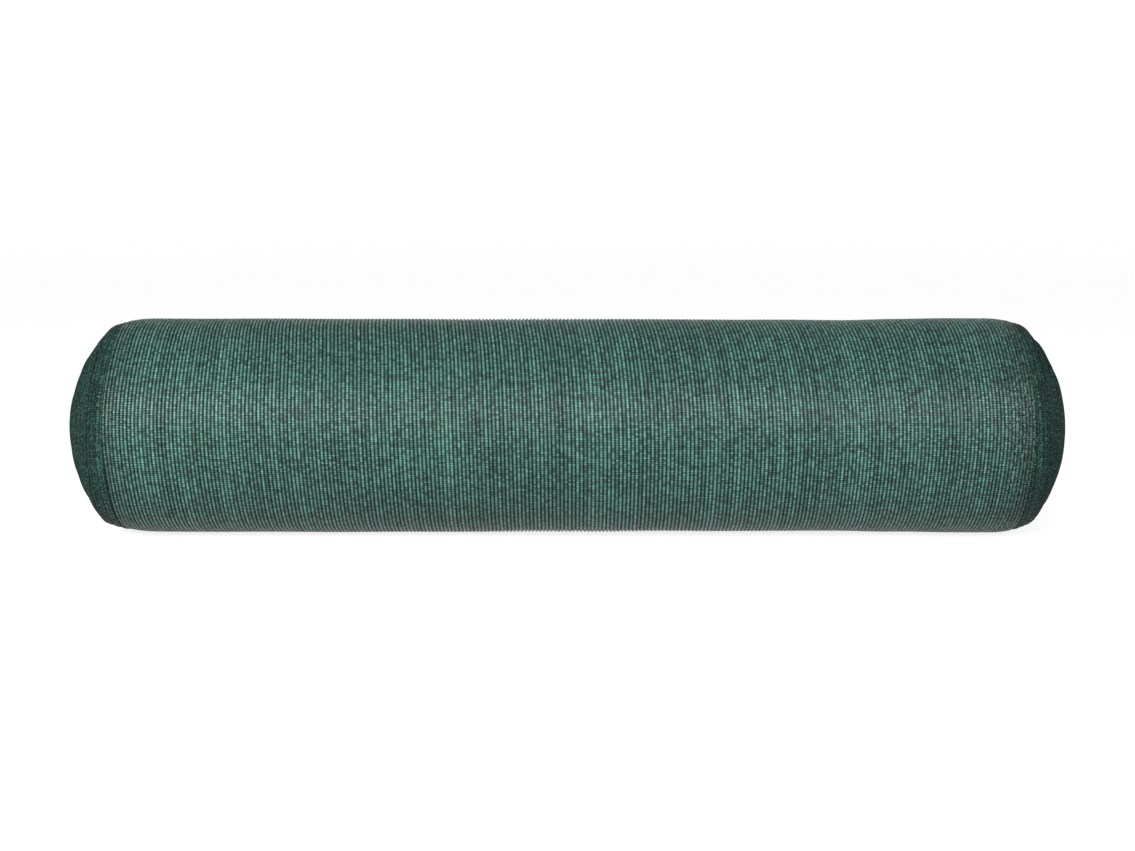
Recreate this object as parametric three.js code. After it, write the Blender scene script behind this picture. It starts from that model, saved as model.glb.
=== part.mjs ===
// A roll of privacy screen netting, lying on its side. The netting is knitted from green plastic tape,
// folded once along its length and wound up tightly on itself, with no core inside. Its two ends are
// domed, because each turn reaches a little further out than the turn wound over it.
//
// Millimetres and degrees. X runs along the roll, Y to its back and Z up. The origin is on the ground,
// under the middle of the roll. Angles round the roll count from the back, through the top, to the front.

import * as THREE from "three";
import { ParametricGeometry } from "three/addons/geometries/ParametricGeometry.js";
import { mergeVertices } from "three/addons/utils/BufferGeometryUtils.js";

// The wound form.
const ROLL_LENGTH = 1000; // from the rim of one eye to the rim of the other
const BODY_RADIUS = 108.7; // half way along the outer turn
const WIDENING = 1.006; // the roll lies a little wider than it is tall
const FLAT_WIDTH = 36; // the strip that its own weight presses flat

// The winding.
const TURN = 1.5; // the thickness of one turn, which is two plies of netting
const LOOSE_EDGE_ANGLE = -32; // low on the back, where the outer turn stops and lies against the roll
const LOOSE_EDGE_SPREAD = 0.7; // how far round the roll the step down from that edge takes
const EYE_RADIUS = 9; // the hollow at the centre of each end, where the winding starts
const EYE_DEPTH = 3;

// Each end is a round cap of turns' edges. It stops at capEdge, under the edge of the outer turn, which
// rolls over the shoulder from the body. One row is for the top of the end and one for its foot, and
// the form changes evenly from one to the other round the roll.
const END_FORMS = {
  left: {
    top: { capRadius: 142.0, capEdge: 103.2, shoulder: 119.0 },
    foot: { capRadius: 157.5, capEdge: 100.6, shoulder: 158.5 },
  },
  right: {
    top: { capRadius: 143.5, capEdge: 103.5, shoulder: 116.0 },
    foot: { capRadius: 162.5, capEdge: 100.4, shoulder: 73.5 },
  },
};

// Ledges in the caps, where the winding wandered and the turns inside stand out from those outside.
// The share is the place between the eye's rim and the cap's edge, and the ledge is highest at the angle.
const LEDGES = [
  { end: "left", share: 0.4, proud: 1.6, angle: 150 },
  { end: "left", share: 0.76, proud: 1.4, angle: 300 },
  { end: "right", share: 0.34, proud: 1.6, angle: 20 },
  { end: "right", share: 0.69, proud: 1.3, angle: 270 },
  { end: "right", share: 0.85, proud: 1.9, angle: 90 },
];
const LEDGE_REACH = 0.14; // the share of the cap over which a ledge dies out on each side
const LEDGE_WIDTH = 0.016; // the share of the cap that its step takes
const LEDGE_LEAST = 0.35; // the part of its height that is left on the far side from its angle

// The body's girth along the roll, as a share of its mean radius: a slack waist on the right, and a
// swelling between it and the right shoulder. The first and last rows lie just past the two ends.
const GIRTHS = [
  { x: -510, girth: 1.0 },
  { x: -290, girth: 1.001 },
  { x: 30, girth: 1.0 },
  { x: 110, girth: 0.994 },
  { x: 210, girth: 0.992 },
  { x: 275, girth: 0.989 },
  { x: 330, girth: 0.999 },
  { x: 390, girth: 1.0055 },
  { x: 510, girth: 1.003 },
];

// How finely the form is divided.
const EYE_RINGS = 2;
const CAP_RINGS = 7;
const SHOULDER_RINGS = 4;
const BODY_RINGS = 16;
const COLUMNS = 67;

const HALF_LENGTH = ROLL_LENGTH / 2;
const FULL_TURN = 360;

const { degToRad, lerp, smoothstep } = THREE.MathUtils;

// Even shares from just above 0 up to 1.
const shares = (count) => Array.from({ length: count }, (_, i) => (i + 1) / count);

// The rings of an end, from its eye to the body, with one ring on each side of every ledge's step.
function endRings(end) {
  const steps = LEDGES.filter((ledge) => ledge.end === end).flatMap((ledge) => [
    ledge.share - LEDGE_WIDTH / 2,
    ledge.share + LEDGE_WIDTH / 2,
  ]);
  const capShares = [...shares(CAP_RINGS), ...steps].sort((a, b) => a - b);
  return [
    ...[0, ...shares(EYE_RINGS)].map((share) => ({ end, zone: "eye", share })),
    ...capShares.map((share) => ({ end, zone: "cap", share })),
    ...shares(SHOULDER_RINGS).map((share) => ({ end, zone: "shoulder", share })),
  ];
}

// All the rings, from the left eye, along the body, to the right eye.
const RINGS = [
  ...endRings("left"),
  ...shares(BODY_RINGS).slice(0, -1).map((share) => ({ zone: "body", share })),
  ...endRings("right").reverse(),
];

// The form of an end at one angle, between its top and its foot.
function formAt(end, angle) {
  const { top, foot } = END_FORMS[end];
  const share = (1 + Math.sin(degToRad(angle))) / 2;
  return {
    capRadius: lerp(foot.capRadius, top.capRadius, share),
    capEdge: lerp(foot.capEdge, top.capEdge, share),
    shoulder: lerp(foot.shoulder, top.shoulder, share),
  };
}

// How far a cap has fallen back from its summit at a distance rho from the axis.
function capFall(form, rho) {
  return form.capRadius - Math.sqrt(form.capRadius ** 2 - rho ** 2);
}

// How far the cap stands out at a share of its width: each ledge adds half its height just inside its
// step, takes away as much just outside, and fades over its reach on both sides.
function ledgeLift(end, share, angle) {
  let lift = 0;
  for (const ledge of LEDGES.filter((row) => row.end === end)) {
    const inward = ledge.share - share;
    const near = Math.max(0, 1 - Math.abs(inward) / LEDGE_REACH);
    const facing = (1 + Math.cos(degToRad(angle - ledge.angle))) / 2;
    lift += (Math.sign(inward) * near * lerp(LEDGE_LEAST, 1, facing) * ledge.proud) / 2;
  }
  return lift;
}

// A point of an end's profile at one angle: x from the roll's middle, rho from its axis. The shoulder is
// an arc that leaves the body level and stops at the cap's edge.
function endPoint({ end, zone, share }, angle) {
  if (zone === "eye") {
    const sunk = (EYE_DEPTH * (1 + Math.cos(Math.PI * share))) / 2;
    return { x: HALF_LENGTH - sunk, rho: EYE_RADIUS * share };
  }
  const form = formAt(end, angle);
  const summit = HALF_LENGTH + capFall(form, EYE_RADIUS);
  if (zone === "cap") {
    const rho = lerp(EYE_RADIUS, form.capEdge, share);
    return { x: summit - capFall(form, rho) + ledgeLift(end, share, angle), rho };
  }
  const fullArc = Math.acos(1 - (BODY_RADIUS - form.capEdge) / form.shoulder);
  const arc = fullArc * (1 - share);
  return {
    x: summit - capFall(form, form.capEdge) - form.shoulder * (Math.sin(fullArc) - Math.sin(arc)),
    rho: BODY_RADIUS - form.shoulder * (1 - Math.cos(arc)),
  };
}

// A point of the whole profile at one angle.
function profilePoint(ring, angle) {
  if (ring.zone === "body") {
    const bodyEnd = { zone: "shoulder", share: 1 };
    const left = -endPoint({ end: "left", ...bodyEnd }, angle).x;
    const right = endPoint({ end: "right", ...bodyEnd }, angle).x;
    return { x: lerp(left, right, ring.share), rho: BODY_RADIUS };
  }
  const { x, rho } = endPoint(ring, angle);
  return { x: ring.end === "left" ? -x : x, rho };
}

// The share of its mean radius that the roll has at x, eased from one row of the table to the next.
function girthAt(x) {
  const next = GIRTHS.findIndex((row) => row.x > x);
  const a = GIRTHS[next - 1];
  const b = GIRTHS[next];
  return lerp(a.girth, b.girth, smoothstep(x, a.x, b.x));
}

// The angle of a column, and its share of a turn back from the loose edge. Column 0 is on the edge and
// column 1 just under it, on the turn before. The rest go round from there, back to the edge.
function columnAt(column) {
  if (column % COLUMNS === 0) return { angle: LOOSE_EDGE_ANGLE, back: 0 };
  const round = (FULL_TURN - LOOSE_EDGE_SPREAD) * ((column - 1) / (COLUMNS - 1));
  const angle = LOOSE_EDGE_ANGLE - LOOSE_EDGE_SPREAD - round;
  return { angle, back: (angle - LOOSE_EDGE_ANGLE) / FULL_TURN + 1 };
}

// A point of the roll's surface. Each turn lies one thickness under the next, so the radius grows evenly
// by that much in one turn, up to the loose edge. This dies out over the caps, among the turns' edges.
function onRoll(u, v, target) {
  const ring = RINGS[Math.round(u * (RINGS.length - 1))];
  const { angle, back } = columnAt(Math.round(v * COLUMNS));
  const { x, rho } = profilePoint(ring, angle);
  const winding = TURN * (0.5 - back) * smoothstep(rho / BODY_RADIUS, 0.8, 0.97);
  const radius = rho * girthAt(x) + winding;
  const turned = degToRad(angle);
  const axisHeight = Math.sqrt(BODY_RADIUS ** 2 - (FLAT_WIDTH / 2) ** 2);
  const height = axisHeight + radius * Math.sin(turned);
  target.set(x, WIDENING * radius * Math.cos(turned), Math.max(0, height));
}

// Joins the surface's first and last columns, and the points that meet at each eye's centre, where the
// triangles that have shrunk to a line are left out.
function closed(surface) {
  surface.deleteAttribute("normal");
  surface.deleteAttribute("uv");
  const joined = mergeVertices(surface, 1e-3);
  const corners = joined.index.array;
  const kept = [];
  for (let i = 0; i < corners.length; i += 3) {
    const [a, b, c] = corners.subarray(i, i + 3);
    if (a !== b && b !== c && c !== a) kept.push(a, b, c);
  }
  joined.setIndex(kept);
  joined.computeVertexNormals();
  return joined;
}

// The netting's own material: matt dark green plastic tape.
const nettingGreen = new THREE.MeshStandardMaterial({
  color: 0x3d5d52,
  roughness: 0.62,
  metalness: 0,
});

function nettingRoll() {
  const geometry = closed(new ParametricGeometry(onRoll, RINGS.length - 1, COLUMNS));
  geometry.computeBoundingBox();
  const middle = geometry.boundingBox.getCenter(new THREE.Vector3());
  geometry.translate(-middle.x, -middle.y, 0);
  const mesh = new THREE.Mesh(geometry, nettingGreen);
  mesh.name = "netting_roll";
  return mesh;
}

const screenNetting = new THREE.Group();
screenNetting.add(nettingRoll());

export default screenNetting;
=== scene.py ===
# %% [markdown]
# # A roll of privacy screen netting
#
# The object is a length of knitted green netting, wound up tightly with no core. It is taken to have
# been folded once along its length first. Seen from the front it is a long soft cylinder with rounded
# ends, and almost all of its character is in the knit: about 240 columns of stitches run round it like
# fine ribs.
#
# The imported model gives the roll's real size and place. This lesson dresses it: the outer turn becomes a
# ribbed sheet that rolls over both shoulders, and each end becomes one long spiral of folded edges.
# Everything is in metres, with X along the roll, Y to its back and Z up. Angles round the roll count
# from the back, through the top, to the front.

import math

import bpy
import numpy as np
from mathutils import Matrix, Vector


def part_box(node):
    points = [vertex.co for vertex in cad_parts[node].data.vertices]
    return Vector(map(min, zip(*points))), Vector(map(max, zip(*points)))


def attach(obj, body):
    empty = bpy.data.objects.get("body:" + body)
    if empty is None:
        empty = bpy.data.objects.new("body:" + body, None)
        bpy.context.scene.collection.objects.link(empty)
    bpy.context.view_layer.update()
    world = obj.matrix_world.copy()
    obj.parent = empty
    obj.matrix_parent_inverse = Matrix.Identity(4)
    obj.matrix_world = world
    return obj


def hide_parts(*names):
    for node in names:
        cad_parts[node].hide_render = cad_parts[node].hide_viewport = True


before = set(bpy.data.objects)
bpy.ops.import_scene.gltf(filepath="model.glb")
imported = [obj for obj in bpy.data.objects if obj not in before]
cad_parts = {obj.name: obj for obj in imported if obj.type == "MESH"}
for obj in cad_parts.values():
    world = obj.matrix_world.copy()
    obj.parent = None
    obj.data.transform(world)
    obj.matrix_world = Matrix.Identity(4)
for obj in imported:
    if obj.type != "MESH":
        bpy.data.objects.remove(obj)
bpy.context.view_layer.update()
roll_low, roll_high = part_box("netting_roll")
print("roll box, mm:", [round((high - low) * 1000, 1) for low, high in zip(roll_low, roll_high)])

# %% [markdown]
# ## The wound form
#
# A roll could be a stock cylinder, but then its shoulders, its slack waist and the flat strip that it
# lies on would be missing. So its form is written down in real sizes, the same ones as the solid has:
# a straight body, a shoulder arc at each end, and a round cap of turns' edges. An end is a little
# sharper at its top than at its foot, so it has a row for each, and the form slides between them.

# %% Sizes of the wound form
MM = 0.001
HALF_LENGTH = (roll_high[0] - roll_low[0]) / 2
BODY_RADIUS = 108.7 * MM
WIDENING = 1.006  # the roll lies a little wider than it is tall
FLAT_WIDTH = 36 * MM  # the strip that its own weight presses flat
AXIS_HEIGHT = math.sqrt(BODY_RADIUS**2 - (FLAT_WIDTH / 2) ** 2)
AXIS_Y = -0.4 * MM  # the loose edge stands out behind, so the axis is a little in front of the middle

TURN = 1.5 * MM  # the thickness of one turn, which is two plies of netting
LOOSE_EDGE_ANGLE = math.radians(-32)  # low on the back, where the outer turn stops
EYE_RADIUS = 9 * MM
EYE_DEPTH = 3 * MM

END_FORMS = {
    "left": {
        "top": {"cap_radius": 142.0 * MM, "cap_edge": 103.2 * MM, "shoulder": 119.0 * MM},
        "foot": {"cap_radius": 157.5 * MM, "cap_edge": 100.6 * MM, "shoulder": 158.5 * MM},
    },
    "right": {
        "top": {"cap_radius": 143.5 * MM, "cap_edge": 103.5 * MM, "shoulder": 116.0 * MM},
        "foot": {"cap_radius": 162.5 * MM, "cap_edge": 100.4 * MM, "shoulder": 73.5 * MM},
    },
}
FOLD_AT = {"left": 443.5 * MM, "right": 446.0 * MM}  # how far from the middle the outer turn reaches
LEDGES = [
    {"end": "left", "share": 0.40, "proud": 1.6 * MM, "angle": math.radians(150)},
    {"end": "left", "share": 0.76, "proud": 1.4 * MM, "angle": math.radians(300)},
    {"end": "right", "share": 0.34, "proud": 1.6 * MM, "angle": math.radians(20)},
    {"end": "right", "share": 0.69, "proud": 1.3 * MM, "angle": math.radians(270)},
    {"end": "right", "share": 0.85, "proud": 1.9 * MM, "angle": math.radians(90)},
]
LEDGE_REACH = 0.14  # the share of the cap over which a ledge dies out on each side
LEDGE_WIDTH = 0.016  # the share of the cap that its step takes
LEDGE_LEAST = 0.35  # the part of its height that is left on the far side from its angle
GIRTHS = np.array(
    [  # place along the roll in metres, and girth as a share of the mean radius
        (-0.510, 1.000),
        (-0.290, 1.001),
        (0.030, 1.000),
        (0.110, 0.994),
        (0.210, 0.992),
        (0.275, 0.989),
        (0.330, 0.999),
        (0.390, 1.0055),
        (0.510, 1.003),
    ]
)


# %% Helpers for the form
def lerp(a, b, share):
    """The value that lies a share of the way from a to b."""
    return a + (b - a) * share


def ease(x, low, high):
    """0 below low and 1 above high, with a smooth S between: 3t squared minus 2t cubed."""
    t = np.clip((x - low) / (high - low), 0, 1)
    return t * t * (3 - 2 * t)


def girth_at(x):
    """The roll's girth at x, eased from each row of GIRTHS to the next."""
    row = np.clip(np.searchsorted(GIRTHS[:, 0], x) - 1, 0, len(GIRTHS) - 2)
    start, end = GIRTHS[row], GIRTHS[row + 1]
    return lerp(start[..., 1], end[..., 1], ease(x, start[..., 0], end[..., 0]))


def form_at(end, angle):
    """The cap radius, cap edge and shoulder of an end at an angle: an even blend of top and foot."""
    top, foot = END_FORMS[end]["top"], END_FORMS[end]["foot"]
    share = (1 + np.sin(angle)) / 2
    return [lerp(foot[key], top[key], share) for key in ("cap_radius", "cap_edge", "shoulder")]


def cap_fall(cap_radius, rho):
    """How far a round cap has fallen back at a distance rho from the axis: r minus root(r2 - rho2)."""
    return cap_radius - np.sqrt(cap_radius**2 - rho**2)


def shoulder_start(end, angle):
    """Where the straight body ends and the shoulder starts, measured from the middle, and the
    shoulder's radius. The shoulder is an arc that leaves the body level and meets the cap's edge."""
    cap_radius, cap_edge, shoulder = form_at(end, angle)
    full_arc = np.arccos(1 - (BODY_RADIUS - cap_edge) / shoulder)
    summit = HALF_LENGTH + cap_fall(cap_radius, EYE_RADIUS)
    return summit - cap_fall(cap_radius, cap_edge) - shoulder * np.sin(full_arc), shoulder


def place(x, radius, angle):
    """The point at x, radius and angle round the roll, kept above the ground."""
    y = AXIS_Y + WIDENING * radius * np.cos(angle)
    z = np.maximum(AXIS_HEIGHT + radius * np.sin(angle), 0)
    return np.stack(np.broadcast_arrays(x, y, z), axis=-1)


# %% [markdown]
# ## Unevenness
#
# A hand-wound roll is never even: some turns are slack, some edges stand out. That unevenness should be
# smooth along the cloth and the same on every run, so it comes from a seeded table of random values that
# is read with a smooth curve between them.

# %% Smooth unevenness
random = np.random.default_rng(7)


def wander(places, count):
    """Smooth random values of about -1 to 1: seeded numbers at whole places, eased in between."""
    table = random.uniform(-1, 1, count + 2)
    whole = np.clip(np.floor(places).astype(int), 0, count)
    return lerp(table[whole], table[whole + 1], ease(places - whole, 0, 1))


# %% [markdown]
# ## Camera
#
# The photograph looks straight at the side of the roll. The way its columns of stitches lean towards the
# ends shows that the lens was about fourteen roll radii away, so the camera stands there, with the angle
# of view that makes the roll as long in the picture as it is in the photograph. It looks from a little
# above. That height is a guess, because the photograph is a cut-out on white.

# %% Place the camera
PHOTO_WIDTH = 1135  # pixels
FOCAL_PIXELS = 1516  # the lens's focal length, measured in the photograph's pixels
SENSOR_WIDTH = 36  # millimetres
CAMERA_DISTANCE = 14.25 * BODY_RADIUS
CAMERA_ELEVATION = math.radians(9)

camera_data = bpy.data.cameras.new("camera")
camera_data.sensor_width = SENSOR_WIDTH
camera_data.lens = SENSOR_WIDTH * FOCAL_PIXELS / PHOTO_WIDTH
camera = bpy.data.objects.new("camera", camera_data)
bpy.context.collection.objects.link(camera)
camera.location = (
    0.0,
    -CAMERA_DISTANCE * math.cos(CAMERA_ELEVATION),
    AXIS_HEIGHT + CAMERA_DISTANCE * math.sin(CAMERA_ELEVATION),
)
camera.rotation_euler = (math.pi / 2 - CAMERA_ELEVATION, 0, 0)
bpy.context.scene.camera = camera
print("camera distance, m:", round(CAMERA_DISTANCE, 3), "lens, mm:", round(camera_data.lens, 1))

# %% [markdown]
# ## The knit's layout
#
# Netting like this is knitted in columns, called wales, that run along the cloth, so on the roll they
# run round it. Rows of stitches, called courses, cross them. The columns crowd where the cloth is slack
# and near the ends, and on the upper front they lean, because the cloth was pulled askew as it was
# wound. The pitches and the lean are short tables or formulas, and everything else follows from them.
#
# A column is a ridge with a flat top, because flat tape lies over it. It stands higher here than a real
# ply is thick, so that the grooves come out darker, nearer to the photograph's.

# %% Sizes of the knit
COURSE_PITCH = 2.33 * MM
RIB_HEIGHT = 1.35 * MM
RIB_UNEVEN = 0.25  # how much higher or lower than that a column may be, as a share
RIB_PROFILE = np.array([0, 0, 0.8, 1, 1, 1, 0.8, 0])  # from a valley, over the flat top, to the next
WALE_PITCHES = np.array(
    [  # place along the roll in metres, and the pitch of the columns there
        (-0.500, 3.55 * MM),
        (-0.400, 3.64 * MM),
        (-0.250, 3.68 * MM),
        (-0.180, 3.76 * MM),
        (0.110, 3.77 * MM),
        (0.210, 3.70 * MM),
        (0.275, 3.50 * MM),
        (0.310, 3.66 * MM),
        (0.370, 3.56 * MM),
        (0.430, 3.42 * MM),
        (0.500, 3.42 * MM),
    ]
)
LEAN_MEAN = -0.042  # sideways drift for each step round the roll, where the front faces the camera
LEAN_RISE = -0.060  # how the drift grows towards the top
LEAN_TWICE = 0.022  # and how it bends twice in a turn
LEAN_FADE = (math.radians(62), math.radians(115))  # it dies out between these angles from the front
LEAN_FROM_FOLD = 0.45  # the drift grows from a fold inwards over this share of half the roll
TABLE_PLACES = 2001  # how finely the pitches are added up along the roll

along = np.linspace(WALE_PITCHES[0, 0], WALE_PITCHES[-1, 0], TABLE_PLACES)
pitch_along = np.interp(along, WALE_PITCHES[:, 0], WALE_PITCHES[:, 1])
wale_along = np.cumsum((along[1] - along[0]) / pitch_along)
wale_along -= np.interp(0, along, wale_along)


def lean_drift(angle):
    """How far the columns have drifted along the roll at each angle, in metres: the sum of the drift's
    slope, a mean plus a sine plus a double wave, faded out away from the front."""
    up = math.pi - angle
    slope = LEAN_MEAN + LEAN_RISE * np.sin(up) + LEAN_TWICE * np.cos(2 * up)
    away = np.abs((up + math.pi) % (2 * math.pi) - math.pi)
    slope = slope * (1 - ease(away, *LEAN_FADE)) * BODY_RADIUS
    step = np.diff(up, prepend=up[0])
    drift = np.cumsum(slope * step)
    return drift - np.interp(0, up, drift)


# %% [markdown]
# ## The outer turn
#
# The outer turn is one thin sheet wound once round the roll, from a tuck under its own loose edge, right
# round to that edge. It could be a plain tube with a bump map, but real ribs catch the light at the rim
# and shade the grooves between them, so each column of stitches is a real ridge with eight steps across.
# The sheet is a grid: one direction counts steps round the turn and the other counts steps along the
# roll. At both ends the grid carries on round the fold of the netting and in under it, so no raw border
# shows.

# %% Lay out the grid of the outer turn
ROWS = 152  # steps round the turn
STEPS_ACROSS = len(RIB_PROFILE)  # steps across one column of stitches
FOLD_STEPS = 6
FOLD_RADIUS = 0.48 * TURN
FOLD_WANDER = 1.5 * MM  # how unevenly the folded edge runs round the roll
TUCK = 4 * MM  # how far the cloth runs on under itself past a fold or edge
TUCKED_SHARE = 0.012  # the share of a turn that lies under the loose edge
WINDING_FADE = (0.8, 0.97)  # the step of one turn dies out over these shares of the body's radius
BULGE = 0.25 * MM  # how far the cloth swells and sinks in broad soft places

fold_turns = np.linspace(0, math.pi, FOLD_STEPS + 1)[1:]

# An edge goes over a half circle and then runs back along the tuck: over_out is how far past the edge
# each step lies, and over_drop is how far under the cloth.
over_out = np.concatenate([FOLD_RADIUS * np.sin(fold_turns), [-TUCK]])
over_drop = np.concatenate([FOLD_RADIUS * (1 - np.cos(fold_turns)), [2 * FOLD_RADIUS]])

# Round the turn, back is the share of a turn back from the loose edge. The last rows go over that edge.
back = np.linspace(1 + TUCKED_SHARE, 0, ROWS)
row_angle = LOOSE_EDGE_ANGLE + 2 * math.pi * back
edge_angle = LOOSE_EDGE_ANGLE - over_out / BODY_RADIUS
angle = np.concatenate([row_angle, edge_angle])[:, None]
back = np.concatenate([back, np.zeros(len(over_out))])[:, None]
drop = np.concatenate([np.zeros(ROWS), over_drop])[:, None]
row_lean = lean_drift(row_angle)
lean = np.concatenate([row_lean, np.full(len(over_out), row_lean[-1])])[:, None]


def fold_place(end, angle):
    """How far from the roll's middle the outer turn's fold lies, wandering a little round the roll."""
    return FOLD_AT[end] + FOLD_WANDER * np.sin(3 * angle + 1) * np.sin(2 * angle)


def half_profile(end):
    """For each row: where the body ends, the shoulder's radius, and the length from the roll's middle,
    along the body and the shoulder's arc, to the fold."""
    body_end, shoulder = shoulder_start(end, angle)
    length = body_end + shoulder * np.arcsin((fold_place(end, angle) - body_end) / shoulder)
    return body_end, shoulder, length


left_end, left_shoulder, left_length = half_profile("left")
right_end, right_shoulder, right_length = half_profile("right")
left_wales = round(float(-np.interp(-left_length.mean(), along, wale_along)))
right_wales = round(float(np.interp(right_length.mean(), along, wale_along)))
wale = np.arange(-left_wales * STEPS_ACROSS, right_wales * STEPS_ACROSS + 1) / STEPS_ACROSS
print("columns of stitches:", left_wales + right_wales, "rows of the grid:", len(angle))


# %% Work out where each point of the outer turn lies
def outer_turn_points():
    """The grid's points, rows round the turn by steps along the roll. Along the roll, a point's length
    from the middle is its column's place, stretched so that the last column meets the fold, plus the
    lean. Up to the body's end it lies on the body, then on the shoulder's arc. It is sunk along the
    surface's normal between the ribs, lowered by its share of a turn's thickness, and moved in and out
    by a product of two slow waves."""
    place_along = np.interp(wale, wale_along, along)[None, :]
    to_left, to_right = -place_along[0, 0], place_along[0, -1]
    length = np.where(
        place_along < 0,
        place_along * left_length / to_left,
        place_along * right_length / to_right,
    )
    near_fold = np.minimum(1 + place_along / to_left, 1 - place_along / to_right)
    length = length + lean * ease(near_fold, 0, LEAN_FROM_FOLD)

    rightward = length > 0
    body_end = np.where(rightward, right_end, left_end)
    shoulder = np.where(rightward, right_shoulder, left_shoulder)
    arc = np.maximum(np.abs(length) - body_end, 0) / shoulder
    side = np.where(rightward, 1, -1)
    x = side * (np.minimum(np.abs(length), body_end) + shoulder * np.sin(arc))
    rho = BODY_RADIUS - shoulder * (1 - np.cos(arc))

    rib = RIB_PROFILE[np.round(wale * STEPS_ACROSS).astype(int) % STEPS_ACROSS]
    whole = np.floor(wale).astype(int) + left_wales
    chances = random.uniform(-1, 1, left_wales + right_wales + 1)
    rib_height = RIB_HEIGHT * (1 + RIB_UNEVEN * chances[whole])
    sunk = (rib_height * (1 - rib))[None, :]
    x = x - side * np.sin(arc) * sunk
    rho = rho - np.cos(arc) * sunk

    # Both ends go round the fold and back under the cloth, as the loose edge does.
    folds = []
    for column, sign in ((0, -1), (-1, 1)):
        tilt = arc[:, column][:, None]
        x0, rho0 = x[:, column][:, None], rho[:, column][:, None]
        fold_x = x0 + sign * (over_out * np.cos(tilt) - over_drop * np.sin(tilt))
        fold_rho = rho0 - over_out * np.sin(tilt) - over_drop * np.cos(tilt)
        folds.append((fold_x, fold_rho))
    (left_x, left_rho), (right_x, right_rho) = folds
    x = np.concatenate([left_x[:, ::-1], x, right_x], axis=1)
    rho = np.concatenate([left_rho[:, ::-1], rho, right_rho], axis=1)

    winding = TURN * (0.5 - back) * ease(rho / BODY_RADIUS, *WINDING_FADE)
    bulge = BULGE * np.sin(17 * x + 2 * angle) * np.sin(31 * x - 3 * angle)
    radius = rho * girth_at(x) + winding + bulge - drop
    return place(x, radius, angle)


turn_points = outer_turn_points()
print("outer turn grid:", turn_points.shape[:2])


# %% [markdown]
# ## From a grid to a mesh
#
# Every surface here is a grid, so one function turns a grid into a mesh. It also gives the mesh two
# maps. The knit map counts columns one way and courses the other, so one pattern of a single stitch can
# be repeated over the whole cloth. The bake map spreads the surface over a square picture without
# overlaps.


# %% Make a mesh from points, faces and maps
def make_piece(name, points, faces, corner_maps):
    """A smooth-shaded object at the origin. faces index the points, and each corner map holds two
    numbers for each corner of each face, in the faces' order."""
    mesh = bpy.data.meshes.new(name)
    mesh.from_pydata(points.reshape(-1, 3), [], faces)
    for map_name, values in corner_maps.items():
        layer = mesh.uv_layers.new(name=map_name)
        layer.data.foreach_set("uv", np.asarray(values, dtype=np.float32).ravel())
    mesh.shade_smooth()
    mesh.update()
    piece = bpy.data.objects.new(name, mesh)
    bpy.context.collection.objects.link(piece)
    return piece


def grid_corners(rows, columns):
    """The row and column numbers of the four corners of each face of a grid, anticlockwise."""
    row, column = np.meshgrid(np.arange(rows - 1), np.arange(columns - 1), indexing="ij")
    corner_rows = row.reshape(-1, 1) + np.array([0, 1, 1, 0])
    corner_columns = column.reshape(-1, 1) + np.array([0, 0, 1, 1])
    return corner_rows, corner_columns


# %% Cut the outer turn into lengths and make them
LENGTHS = 4  # one mesh would be too heavy, so the sheet is four meshes that meet in a valley
MAP_MARGIN = 0.012
FOLD_STEP_WALES = 0.1  # how much of a column each step round the fold takes in the knit map
TUCK_WALES = 1.4  # and how far the tuck reaches there, in columns
OVER_STEP_SHARE = 0.0008  # the same for the loose edge, as shares of the turn's courses
OVER_TUCK_SHARE = 0.012

fold_wales = np.concatenate([np.cumsum(np.full(FOLD_STEPS, FOLD_STEP_WALES)), [TUCK_WALES]])
all_wales = np.concatenate([wale[0] - fold_wales[::-1], wale, wale[-1] + fold_wales])
total_courses = 2 * math.pi * BODY_RADIUS / COURSE_PITCH
over_share = np.concatenate([np.arange(1, FOLD_STEPS + 1) * OVER_STEP_SHARE, [OVER_TUCK_SHARE]])
course = np.concatenate([back[:ROWS, 0], -over_share]) * total_courses


def outer_turn_maps(rows, columns, corner_rows, corner_columns):
    """The knit map is the column and course numbers. The bake map lays the front half of the turn in
    the left half of the square and the other half beside it."""
    knit = np.stack([all_wales[columns[corner_columns]], course[corner_rows]], axis=-1)
    half = (rows - 1) // 2
    second = corner_rows.min(axis=1, keepdims=True) >= half
    down = np.where(second, (corner_rows - half) / (rows - 1 - half), corner_rows / half)
    across = corner_columns / (len(columns) - 1)
    strip = 0.5 - 2 * MAP_MARGIN
    bake_u = MAP_MARGIN + across * strip + 0.5 * second
    bake_v = MAP_MARGIN + down * (1 - 2 * MAP_MARGIN)
    return {"knit": knit, "OFBake": np.stack([bake_u, bake_v], axis=-1)}


cuts = np.linspace(-left_wales, right_wales, LENGTHS + 1).round()
cut_columns = [int(round((cut + left_wales) * STEPS_ACROSS)) + FOLD_STEPS + 1 for cut in cuts]
cut_columns[0], cut_columns[-1] = 0, len(all_wales) - 1
outer_turn = []
for number in range(LENGTHS):
    columns = np.arange(cut_columns[number], cut_columns[number + 1] + 1)
    points = turn_points[:, columns]
    corner_rows, corner_columns = grid_corners(len(angle), len(columns))
    faces = corner_rows * len(columns) + corner_columns
    maps = outer_turn_maps(len(angle), columns, corner_rows, corner_columns)
    piece = make_piece(f"outer_turn_{number + 1}", points, faces, maps)
    outer_turn.append(piece)
    print(piece.name, "triangles:", 2 * len(faces))

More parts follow.
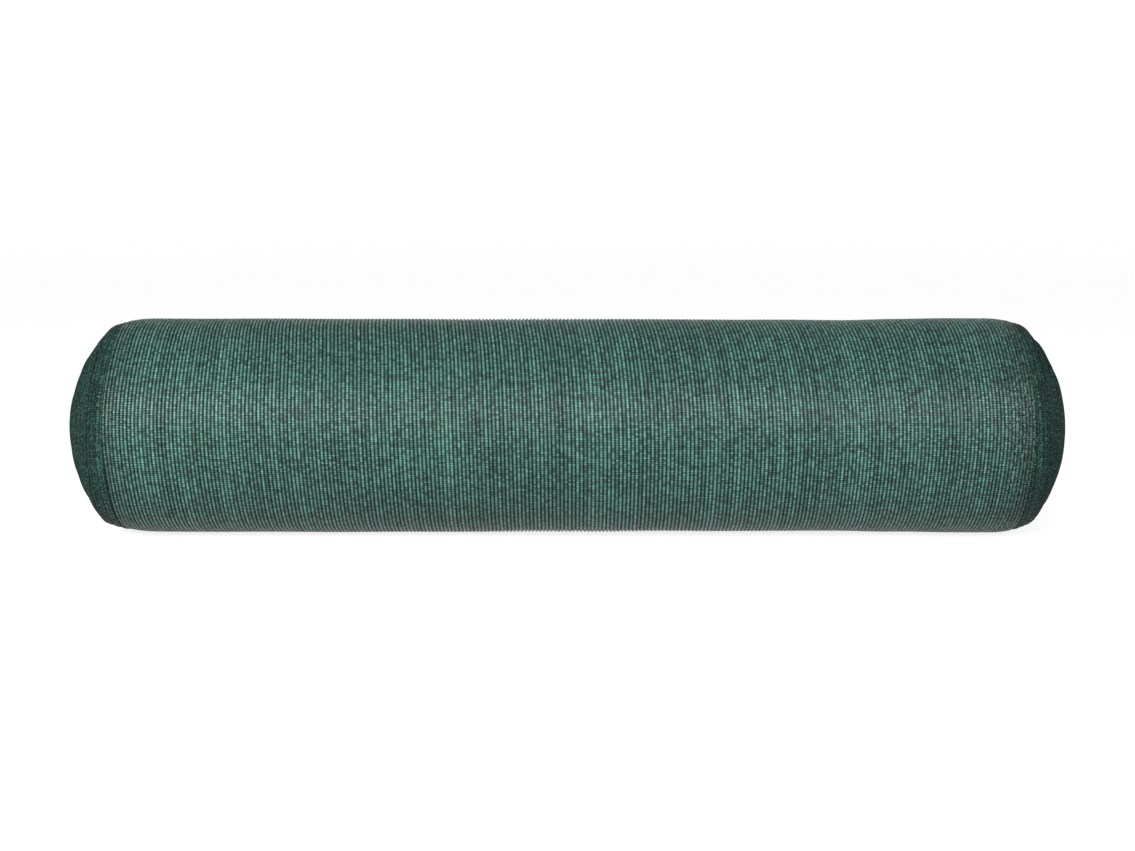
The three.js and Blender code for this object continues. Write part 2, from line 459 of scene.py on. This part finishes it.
# %% [markdown]
# ## The ends
#
# Each end shows the folded edges of all the turns, one inside the other, stepping out towards the
# middle. They could be separate rings, but the netting is one length, so they are one long spiral: the
# grid's columns go once round, and the last column joins the first column of the next turn out. Across a
# turn there are four steps: the groove, then up the folded edge and down again. On the cap the edges
# stand side by side, and on the shoulder each lies on the next like a roof tile, so there the crest
# comes straight after the groove.

# %% Sizes of the ends
EDGE_COLUMNS = 216  # steps round a turn
EDGE_STEPS = 4  # steps across a turn
CAP_ACROSS = np.array([0, 0.25, 0.5, 0.75, 1])  # where the steps lie in the knit map, in columns
TILE_ACROSS = np.array([0, 0.5, 0.95, 1.45, 2])
BAKE_RADIUS = 0.49  # of the disc in the bake map
SHOULDER_TURNS = 4  # turns whose edges lie on the shoulder, past the cap, the last ones under the cloth
COVERED_DEPTH = 0.5 * MM  # how near to the body's radius the last of them comes
CAP_STEPS = np.array([0, 0.25, 0.5, 0.75])  # where the four steps lie, as shares of a turn
CAP_DEPTHS = np.array([1, 0.55, 0, 0.55]) * 1.2 * MM
TILE_STEPS = np.array([0, 0.14, 0.32, 0.66])
TILE_DEPTHS = np.array([1, 0.1, 0.25, 0.6]) * 0.8 * MM
FIRST_RADIUS = 1.1 * MM  # where the winding starts
UNEVEN = 0.5 * MM  # how far a turn's edge wanders in and out
WANDERS_PER_TURN = 2.3
EYE_SQUEEZE = 0.42  # the first turns are flattened, because the netting's start was doubled over
EYE_SQUEEZE_REACH = 9 * MM
SPARE_WANDERS = 6  # values past the last turn, so that the table can't run out
EVEN_TURNS = 3  # the first turns are wound evenly
TILED_EVENNESS = 0.7  # and on the shoulder the wander is less by this share
SLOW_WANDERS_PER_TURN = 0.37
SLOW_UNEVEN = 0.6  # how far the slow wander goes, as a share of the quick one
FULLY_COVERED = -2.5 * MM  # up to here, measured from the fold, the ends lie under the outer turn
UNCOVERED = 1.5 * MM  # and from here out they are clear of it
COVERED_TURNS = 0.6  # the least depth at which they lie under it, in turns


def ledge_lift(end, cap_share, angle):
    """How far the turns stand out at a share of the cap: each ledge adds half its height inside its
    step and takes as much away outside, and fades over its reach on both sides."""
    lift = 0
    for ledge in (row for row in LEDGES if row["end"] == end):
        inward = ledge["share"] - cap_share
        near = np.maximum(0, 1 - np.abs(inward) / LEDGE_REACH)
        facing = (1 + np.cos(angle - ledge["angle"])) / 2
        step = 2 * ease(inward, -LEDGE_WIDTH / 2, LEDGE_WIDTH / 2) - 1
        lift = lift + step * near * lerp(LEDGE_LEAST, 1, facing) * ledge["proud"] / 2
    return lift


def end_profile(end, winding, turns, angle):
    """The smooth form of an end at a winding, which is the number of turns from the centre: how far out
    it lies, its distance from the axis, and how far its normal tilts outwards. Up to the cap's edge it
    is the round cap with its eye and ledges, and past that it is the shoulder's arc."""
    cap_radius, cap_edge, _ = form_at(end, angle)
    on_cap = winding <= turns
    cap_rho = lerp(FIRST_RADIUS, cap_edge, np.minimum(winding / turns, 1))
    eye = EYE_DEPTH * (1 + np.cos(math.pi * np.minimum(cap_rho / EYE_RADIUS, 1))) / 2
    cap_share = (cap_rho - EYE_RADIUS) / (cap_edge - EYE_RADIUS)
    summit = HALF_LENGTH + cap_fall(cap_radius, EYE_RADIUS)
    cap_out = summit - cap_fall(cap_radius, cap_rho) - eye + ledge_lift(end, cap_share, angle)

    body_end, shoulder = shoulder_start(end, angle)
    past = np.clip((winding - turns) / SHOULDER_TURNS, 0, 1)
    arc_rho = lerp(cap_edge, BODY_RADIUS - COVERED_DEPTH, past)
    arc = np.arccos(1 - (BODY_RADIUS - arc_rho) / shoulder)
    arc_out = body_end + shoulder * np.sin(arc)

    out = np.where(on_cap, cap_out, arc_out)
    rho = np.where(on_cap, cap_rho, arc_rho)
    tilt = np.where(on_cap, math.pi / 2 - np.arcsin(cap_rho / cap_radius), arc)
    return out, rho, tilt


def end_points(end, turns):
    """The spiral grid of an end, as an array of steps outwards by steps round. Each point lies on the
    smooth form, sunk along its normal by its depth in the groove and raised by its turn's own
    unevenness. Under the outer turn it is sunk by the thickness of that turn as well."""
    sign = -1 if end == "left" else 1
    steps = np.arange((turns + SHOULDER_TURNS) * EDGE_STEPS + 1)[:, None]
    round_share = np.arange(EDGE_COLUMNS)[None, :] / EDGE_COLUMNS
    angle = LOOSE_EDGE_ANGLE - 2 * math.pi * round_share
    strand = steps // EDGE_STEPS + round_share
    kind = steps % EDGE_STEPS
    tiled = ease(strand, turns - 1, turns)
    winding = strand + lerp(CAP_STEPS[kind], TILE_STEPS[kind], tiled)
    depth = lerp(CAP_DEPTHS[kind], TILE_DEPTHS[kind], tiled)
    out, rho, tilt = end_profile(end, winding, turns, angle)

    slow = wander(strand * SLOW_WANDERS_PER_TURN, turns)
    quick_count = int((turns + SHOULDER_TURNS) * WANDERS_PER_TURN) + SPARE_WANDERS
    quick = wander(strand * WANDERS_PER_TURN, quick_count)
    uneven = UNEVEN * (quick + SLOW_UNEVEN * slow) * ease(winding, 0, EVEN_TURNS)
    uneven = uneven * (1 - TILED_EVENNESS * tiled) * (1 - depth / CAP_DEPTHS.max())
    fold = fold_place(end, angle)
    covered = 1 - ease(out, fold + FULLY_COVERED, fold + UNCOVERED)
    under = TURN * (COVERED_TURNS + 1 - round_share)
    lift = uneven - depth - covered * under
    out = out + np.sin(tilt) * lift
    rho = rho + np.cos(tilt) * lift

    squeeze = EYE_SQUEEZE * np.exp(-rho / EYE_SQUEEZE_REACH)
    x = sign * out
    radius = rho * girth_at(x)
    y = AXIS_Y + WIDENING * radius * np.cos(angle) * (1 + 0.5 * squeeze)
    z = np.maximum(AXIS_HEIGHT + radius * np.sin(angle) * (1 - squeeze), 0)
    return np.stack(np.broadcast_arrays(x, y, z), axis=-1)


def end_faces(steps, turned_over):
    """The faces of a spiral grid. The last column joins the first column of the next turn out, and a
    fan of triangles closes the centre."""
    count = EDGE_COLUMNS
    step, column = np.meshgrid(np.arange(steps - 1), np.arange(count), indexing="ij")
    corner = step * count + column
    quads = np.stack([corner, corner + count, corner + count + 1, corner + 1], axis=-1)
    last = column == count - 1
    quads[last, 2:] += (EDGE_STEPS - 1) * count
    quads = quads[quads.max(axis=-1) < steps * count]
    centre = steps * count
    rim = [*range(count), *(k * count for k in range(EDGE_STEPS, -1, -1))]
    fan = [(centre, inner, outer) for inner, outer in zip(rim[1:], rim[:-1])]
    if turned_over:
        quads, fan = quads[:, ::-1], [corners[::-1] for corners in fan]
    return quads, fan


def end_maps(turns, quads, fan):
    """The knit map is the turn's number across and the length along the spiral, counted in courses,
    which is worked out for the turn as a whole so that its two sides agree. The bake map is a disc."""
    count = EDGE_COLUMNS
    step, column = quads // count, quads % count
    wrapped = (column == 0) & (column.max(axis=1, keepdims=True) == count - 1)
    column = column + wrapped * count
    step = step - wrapped * EDGE_STEPS
    turn = step.min(axis=1, keepdims=True) // EDGE_STEPS
    strand = turn + column / count
    tiled = ease(strand, turns - 1, turns)
    kind = step - turn * EDGE_STEPS
    across = turn + lerp(CAP_ACROSS[kind], TILE_ACROSS[kind], tiled)
    growth = (END_FORMS["left"]["top"]["cap_edge"] - FIRST_RADIUS) / turns
    length = 2 * math.pi * (FIRST_RADIUS * strand + growth * strand**2 / 2)
    knit = np.stack([across, length / COURSE_PITCH], axis=-1)
    reach = BAKE_RADIUS * (step / EDGE_STEPS + column / count) / (turns + SHOULDER_TURNS + 1.5)
    turned = 2 * math.pi * column / count
    bake = np.stack([0.5 + reach * np.cos(turned), 0.5 + reach * np.sin(turned)], axis=-1)
    fan_corners = np.zeros((len(fan) * 3, 2))
    return {
        "knit": np.concatenate([knit.reshape(-1, 2), fan_corners]),
        "OFBake": np.concatenate([bake.reshape(-1, 2), fan_corners + 0.5]),
    }


# %% Make the two ends
turn_edges = {}
for end in ("left", "right"):
    turns = round((END_FORMS[end]["top"]["cap_edge"] - FIRST_RADIUS) / TURN)
    points = end_points(end, turns)
    quads, fan = end_faces(len(points), turned_over=end == "left")
    centre = points[:EDGE_STEPS].reshape(-1, 3).mean(axis=0)
    all_points = np.concatenate([points.reshape(-1, 3), centre[None, :]])
    maps = end_maps(turns, quads, fan)
    piece = make_piece(f"turn_edges_{end}", all_points, [*quads.tolist(), *fan], maps)
    turn_edges[end] = piece
    print(piece.name, "turns:", turns, "triangles:", 2 * len(quads) + len(fan))

# %% [markdown]
# ## The knitted plastic
#
# The netting is knitted from flat green tape. Each column is a chain of loops, and each loop has two
# legs that meet in a V. Between the columns, more tape runs from chain to chain in low slanting rungs,
# and beside every rung is a dark hole. A texture photograph could show this, but a pattern built from
# the knit map stays sharp at any distance. The pattern is one stitch, repeated over the whole cloth.
#
# The ribs of the outer turn are real, so the pattern only adds what is finer: the loops as a row of
# lighter beads, the rungs, the threads' lines, and a small lean of each stitch to one side or the other,
# so that neighbours catch the light differently.


# %% Helpers for the pattern
def add_node(tree, kind, inputs=None, **settings):
    """A node with its settings, and its inputs set to values or joined to other nodes' outputs."""
    made = tree.nodes.new(kind)
    for key, value in settings.items():
        setattr(made, key, value)
    for socket, value in (inputs or {}).items():
        if isinstance(value, bpy.types.NodeSocket):
            tree.links.new(value, made.inputs[socket])
        else:
            made.inputs[socket].default_value = value
    return made


def calculate(tree, operation, *values):
    """The output of a Math node."""
    return add_node(tree, "ShaderNodeMath", dict(enumerate(values)), operation=operation).outputs[0]


def wave(tree, phase):
    """A smooth wave of the phase: 0 at whole numbers and 1 half way between them."""
    turned = calculate(tree, "COSINE", calculate(tree, "MULTIPLY", phase, 2 * math.pi))
    return calculate(tree, "MULTIPLY_ADD", turned, -0.5, 0.5)


def between(tree, share, low, high):
    """The value that lies a share of the way from low to high."""
    inputs = {"Value": share, "To Min": low, "To Max": high}
    return add_node(tree, "ShaderNodeMapRange", inputs).outputs[0]


def eased(tree, value, low, high):
    """0 below low and 1 above high, with a smooth S between."""
    inputs = {"Value": value, "From Min": low, "From Max": high}
    return add_node(tree, "ShaderNodeMapRange", inputs, interpolation_type="SMOOTHSTEP").outputs[0]


# %% [markdown]
# Near both folds the cloth is puckered, and its columns can't be told apart there. So the pattern is
# shifted about by a fine noise, which grows from nothing on the body to half a stitch each way, or a
# little more, at the folds.

# %% Where the pattern lies
PUCKER_FROM = {"left": 430 * MM, "right": 405 * MM}  # where the puckering starts
PUCKER_FULL = {"left": 452 * MM, "right": 440 * MM}
PUCKER_SHIFT = 0.6  # stitches
PUCKER_SCALE = 0.85  # puckers to a stitch
RIPPLE_SCALE = 0.11
RIPPLE_SHIFT = 1.6  # courses


def knit_places(tree):
    """The column and course numbers at each point, with the puckering and a slow ripple added."""
    knit = add_node(tree, "ShaderNodeUVMap", uv_map="knit").outputs[0]
    parts = add_node(tree, "ShaderNodeSeparateXYZ", {0: knit}).outputs
    ripple_inputs = {"Vector": knit, "Scale": RIPPLE_SCALE, "Detail": 2.0}
    ripple = add_node(tree, "ShaderNodeTexNoise", ripple_inputs, noise_dimensions="2D").outputs[0]
    pucker_inputs = {"Vector": knit, "Scale": PUCKER_SCALE, "Detail": 1.0}
    pucker = add_node(tree, "ShaderNodeTexNoise", pucker_inputs, noise_dimensions="2D").outputs[1]
    shifts = add_node(tree, "ShaderNodeSeparateColor", {0: pucker}).outputs

    object_place = add_node(tree, "ShaderNodeTexCoord").outputs["Object"]
    x = add_node(tree, "ShaderNodeSeparateXYZ", {0: object_place}).outputs[0]
    right = eased(tree, x, PUCKER_FROM["right"], PUCKER_FULL["right"])
    left = eased(tree, x, -PUCKER_FROM["left"], -PUCKER_FULL["left"])
    amount = calculate(tree, "MULTIPLY", calculate(tree, "ADD", left, right), 2 * PUCKER_SHIFT)
    across_shift = calculate(tree, "MULTIPLY", calculate(tree, "SUBTRACT", shifts[0], 0.5), amount)
    along_shift = calculate(tree, "MULTIPLY", calculate(tree, "SUBTRACT", shifts[1], 0.5), amount)
    across = calculate(tree, "ADD", parts[0], across_shift)
    along = calculate(tree, "ADD", parts[1], along_shift)
    return across, calculate(tree, "MULTIPLY_ADD", ripple, RIPPLE_SHIFT, along)


# %% The pattern of one stitch
CROWN_EDGE = (0.3, 0.7)  # the tape lies flat over most of a column's width
CHEVRON = 0.7  # how far the legs of a loop run back beside its middle, in courses
BEAD_EDGE = (0, 0.7)  # a loop is seen in full over about a third of its course
RUNG_SLANT = 0.5  # how many courses a rung climbs from one column to the next
RUNG_HEIGHT = 0.25  # as a share of a column's height
BEAD_SHARE = 0.8  # how much of a column's tape goes out of sight between its loops
BEAD_DEPTH = 0.25  # and how much of its height goes there
THREADS = 6.0  # threads lying side by side in a column
THREAD_DEPTH = 0.10
RAISED_EDGE = (0.12, 0.75)  # the shares of tape seen between which a hole turns into a crown
SHINY_RUNG = (0.13, 0.21)  # the heights between which a rung becomes as glossy as a crown
FACET_ACROSS = 2.0  # how much the stitches lean one way or the other, as a share of their height
FACET_ALONG = 1.4


def knit_pattern(tree):
    """Three values at each point, and three random ones. The first two say how much of a crown's colour
    and of its gloss the point has, from 0 in a hole to 1, and the third is its height once its stitch's
    lean is added. Two of the random values are for each stitch and one is for each column."""
    across, along = knit_places(tree)
    in_column = calculate(tree, "SUBTRACT", calculate(tree, "FRACT", across), 0.5)
    off_middle = calculate(tree, "ABSOLUTE", in_column)
    rib = wave(tree, across)
    legs = wave(tree, calculate(tree, "MULTIPLY_ADD", off_middle, -CHEVRON, along))
    rung = wave(tree, calculate(tree, "MULTIPLY_ADD", across, RUNG_SLANT, along))
    thread_lines = wave(tree, calculate(tree, "MULTIPLY", across, THREADS))

    numbers = {0: calculate(tree, "FLOOR", across), 1: calculate(tree, "FLOOR", along)}
    cell = add_node(tree, "ShaderNodeCombineXYZ", numbers).outputs[0]
    stitch = add_node(tree, "ShaderNodeTexWhiteNoise", {"Vector": cell}, noise_dimensions="2D")
    column = add_node(tree, "ShaderNodeTexWhiteNoise", {"W": numbers[0]}, noise_dimensions="1D")
    chances = add_node(tree, "ShaderNodeSeparateColor", {0: stitch.outputs["Color"]}).outputs

    flat_top = eased(tree, rib, *CROWN_EDGE)
    bead = eased(tree, legs, *BEAD_EDGE)
    crown = calculate(tree, "MULTIPLY", flat_top, between(tree, bead, 1 - BEAD_SHARE, 1))
    valley = calculate(tree, "SUBTRACT", 1, flat_top)
    low_rung = calculate(tree, "MULTIPLY", calculate(tree, "MULTIPLY", valley, rung), RUNG_HEIGHT)
    raised = eased(tree, calculate(tree, "ADD", crown, low_rung), *RAISED_EDGE)
    shiny = calculate(tree, "MAXIMUM", raised, eased(tree, low_rung, *SHINY_RUNG))

    tape = calculate(tree, "MULTIPLY", flat_top, between(tree, bead, 1 - BEAD_DEPTH, 1))
    tape = calculate(tree, "ADD", tape, low_rung)
    lined = calculate(tree, "MULTIPLY_ADD", thread_lines, THREAD_DEPTH, tape)

    lean_across = calculate(tree, "MULTIPLY", calculate(tree, "SUBTRACT", chances[0], 0.5), in_column)
    in_course = calculate(tree, "SUBTRACT", calculate(tree, "FRACT", along), 0.5)
    lean_along = calculate(tree, "MULTIPLY", calculate(tree, "SUBTRACT", chances[1], 0.5), in_course)
    leaning = calculate(tree, "MULTIPLY_ADD", lean_across, FACET_ACROSS * 2, lined)
    leaning = calculate(tree, "MULTIPLY_ADD", lean_along, FACET_ALONG * 2, leaning)
    return raised, shiny, leaning, chances[2], chances[0], column.outputs["Value"]


# %% [markdown]
# The tape is dark green plastic with a waxy gloss on the crowns of its stitches, and dull in the holes.
# The holes and the grooves between the columns get a near-black green, which is painted shade. The
# folded edges at the ends are the same tape, but the photograph shows them much darker, probably
# because light is lost between them. The grooves here are too shallow for that, so the edges get a
# darker and duller colour of their own, which is painted shade and was chosen to fit the photograph.
#
# In the photograph the two merge softly where the outer turn folds over, and here they would meet in a
# hard line. So the outer turn darkens towards its fold, which is painted shade, and the edges just past
# it are a little lighter than the rest, which is painted light.

# %% The material
STITCH_TONES = (0.45, 1.55)  # the darkest and the lightest stitch, as shares of the mean
COLUMN_TONES = (0.8, 1.2)
PATCH_TONES = (0.75, 1.25)
PATCH_SCALE = 9.0  # patches to a metre
HOLE_ROUGHNESS = 0.95
GLOSSIER = 0.10  # how far a stitch's roughness may lie below the mean
DULLER = 0.12  # and how far above it


def netting_material(name, crown_colour, painted_shade_colour, roughness, specular, bump_height, fold_shade):
    """Green tape: painted shade colour in the holes and grooves, crown colour on the stitches, each stitch
    a little lighter or darker and a little glossier or duller than the next, over broad soft changes of
    tone.
    fold_shade holds a share and a reach: the lightness at a fold, which is painted shade when below 1 and
    painted light when above it, and how far along the roll it takes to come back to 1, outwards or, if the
    reach is below 0, inwards."""
    material = bpy.data.materials.new(name)
    material.use_nodes = True
    tree = material.node_tree
    tree.nodes.clear()
    raised, shiny, leaning, tone, gloss, column = knit_pattern(tree)

    object_place = add_node(tree, "ShaderNodeTexCoord").outputs["Object"]
    patch_inputs = {"Vector": object_place, "Scale": PATCH_SCALE, "Detail": 3.0}
    patches = add_node(tree, "ShaderNodeTexNoise", patch_inputs).outputs[0]
    by_stitch = between(tree, tone, *STITCH_TONES)
    by_column = between(tree, column, *COLUMN_TONES)
    lightness = calculate(tree, "MULTIPLY", by_stitch, by_column)
    lightness = calculate(tree, "MULTIPLY", lightness, between(tree, patches, *PATCH_TONES))
    # fold_shade paints shade on the outer turn towards its folds, and light on the edges just past them.
    x = add_node(tree, "ShaderNodeSeparateXYZ", {0: object_place}).outputs[0]
    fold = (FOLD_AT["left"] + FOLD_AT["right"]) / 2
    shade, reach = fold_shade
    off_fold = eased(tree, calculate(tree, "ABSOLUTE", x), fold, fold + reach)
    lightness = calculate(tree, "MULTIPLY", lightness, between(tree, off_fold, shade, 1))

    # The mix runs from the painted shade colour in the holes and grooves to the tape's crown colour.
    mixed = add_node(tree, "ShaderNodeMix", data_type="RGBA")
    tree.links.new(raised, mixed.inputs[0])
    mixed.inputs[6].default_value = (*painted_shade_colour, 1)
    mixed.inputs[7].default_value = (*crown_colour, 1)
    scale_inputs = {0: mixed.outputs[2], "Scale": lightness}
    shaded = add_node(tree, "ShaderNodeVectorMath", scale_inputs, operation="SCALE").outputs[0]

    glossy = between(tree, gloss, roughness - GLOSSIER, roughness + DULLER)
    rough = add_node(tree, "ShaderNodeMix", {0: shiny, 2: HOLE_ROUGHNESS, 3: glossy}).outputs[0]
    bump_inputs = {"Height": leaning, "Strength": 1.0, "Distance": bump_height}
    bumped = add_node(tree, "ShaderNodeBump", bump_inputs).outputs[0]
    shader_inputs = {
        "Base Color": shaded,
        "Roughness": rough,
        "Normal": bumped,
        "Specular IOR Level": specular,
    }
    plastic = add_node(tree, "ShaderNodeBsdfPrincipled", shader_inputs)
    output = add_node(tree, "ShaderNodeOutputMaterial")
    tree.links.new(plastic.outputs[0], output.inputs["Surface"])
    return material


skin_netting = netting_material(
    "netting_face",
    crown_colour=(0.055, 0.112, 0.094),
    painted_shade_colour=(0.0, 0.022, 0.014),
    roughness=0.30,
    specular=0.25,
    bump_height=0.16 * MM,
    fold_shade=(0.6, -38 * MM),
)
# The edges' colours are painted shade: the same tape as the outer turn, darkened for the light lost
# between the turns' edges.
edge_netting = netting_material(
    "netting_folded_edges",
    crown_colour=(0.011, 0.032, 0.026),
    painted_shade_colour=(0.001, 0.007, 0.005),
    roughness=0.60,
    specular=0.12,
    bump_height=0.25 * MM,
    fold_shade=(1.4, 25 * MM),
)

# %% [markdown]
# ## What each piece stands for
#
# The solid roll stays in the model, hidden, and the new pieces are shown in its place. The outer turn is a
# sheet of cloth, one turn long and as wide as its wales.

# %% Dress the pieces
for number, piece in enumerate(outer_turn):
    piece.data.materials.append(skin_netting)
    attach(piece, "root")
    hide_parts("netting_roll")
    columns = all_wales[[cut_columns[number], cut_columns[number + 1]]]
for piece in turn_edges.values():
    piece.data.materials.append(edge_netting)
    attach(piece, "root")
    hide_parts("netting_roll")

# %% [markdown]
# ## Studio
#
# The photograph's background is pure white, the roll casts no shadow, and even its underside is light.
# A studio gets that with a glowing white table that curves up into the wall. One large soft light stands
# in front, above the camera and to its left, and lays a broad pale band along the roll. A small one
# lifts the right end, which would be in shade.

# %% Floor
FLOOR_RADIUS = 6.0
COVE_RADIUS = 1.5
COVE_STEPS = 12
WALL_HEIGHT = 2.2 * COVE_RADIUS
STEPS_ROUND = 96
FLOOR_DROP = 0.2 * MM  # keeps the floor clear of the roll's flat strip
FLOOR_TONE = 0.25
FLOOR_GLOW = 0.80


def studio_floor():
    """A disc whose rim curves up in a quarter circle to a low wall: a profile carried once round, and
    one flat face that closes the middle."""
    flat = np.array([[0.02, 0.0], [1.0, 0.0], [3.0, 0.0], [FLOOR_RADIUS, 0.0]])
    rise = np.linspace(0, math.pi / 2, COVE_STEPS + 1)[1:]
    cove = np.stack([FLOOR_RADIUS + COVE_RADIUS * np.sin(rise), COVE_RADIUS * (1 - np.cos(rise))], 1)
    profile = np.concatenate([flat, cove, [[FLOOR_RADIUS + COVE_RADIUS, WALL_HEIGHT]]])
    around = np.linspace(0, 2 * math.pi, STEPS_ROUND + 1)
    x = profile[:, :1] * np.cos(around)
    y = profile[:, :1] * np.sin(around)
    z = np.broadcast_to(profile[:, 1:], x.shape) - FLOOR_DROP
    points = np.stack([x, y, z], axis=-1)
    corner_rows, corner_columns = grid_corners(*x.shape)
    faces = (corner_rows * x.shape[1] + corner_columns).tolist()
    faces.append(list(range(x.shape[1] - 1)))
    return make_piece("studio_floor", points, faces, {})


floor = studio_floor()
floor_paint = bpy.data.materials.new("floor_paint")
floor_paint.use_nodes = True
glowing = floor_paint.node_tree.nodes["Principled BSDF"].inputs
glowing["Base Color"].default_value = (FLOOR_TONE, FLOOR_TONE, FLOOR_TONE, 1)
glowing["Roughness"].default_value = 0.9
glowing["Specular IOR Level"].default_value = 0
glowing["Emission Color"].default_value = (1, 1, 1, 1)
glowing["Emission Strength"].default_value = FLOOR_GLOW
floor.data.materials.append(floor_paint)


# %% Lights
def soft_light(name, size, power, location, target):
    """A rectangular lamp of the given size and power that faces its target."""
    data = bpy.data.lights.new(name, "AREA")
    data.shape = "RECTANGLE"
    data.size, data.size_y = size
    data.energy = power
    lamp = bpy.data.objects.new(name, data)
    bpy.context.collection.objects.link(lamp)
    lamp.location = location
    facing = np.array(target) - np.array(location)
    pitch = math.atan2(facing[2], math.hypot(facing[0], facing[1]))
    yaw = math.atan2(facing[1], facing[0]) - math.pi / 2
    lamp.rotation_euler = (math.pi / 2 + pitch, 0, yaw)
    return lamp


soft_light("key_light", (2.6, 1.4), 160, (-1.1, -2.2, 1.20), (-0.2, 0, 0.1))
soft_light("side_light", (0.8, 0.8), 26, (2.3, -0.9, 0.7), (0.5, 0, 0.1))

world = bpy.data.worlds.new("studio_light")
world.use_nodes = True
room = world.node_tree.nodes["Background"].inputs
room["Color"].default_value = (1, 1, 1, 1)
room["Strength"].default_value = 0.5
bpy.context.scene.world = world
bpy.context.scene.view_settings.view_transform = "Standard"
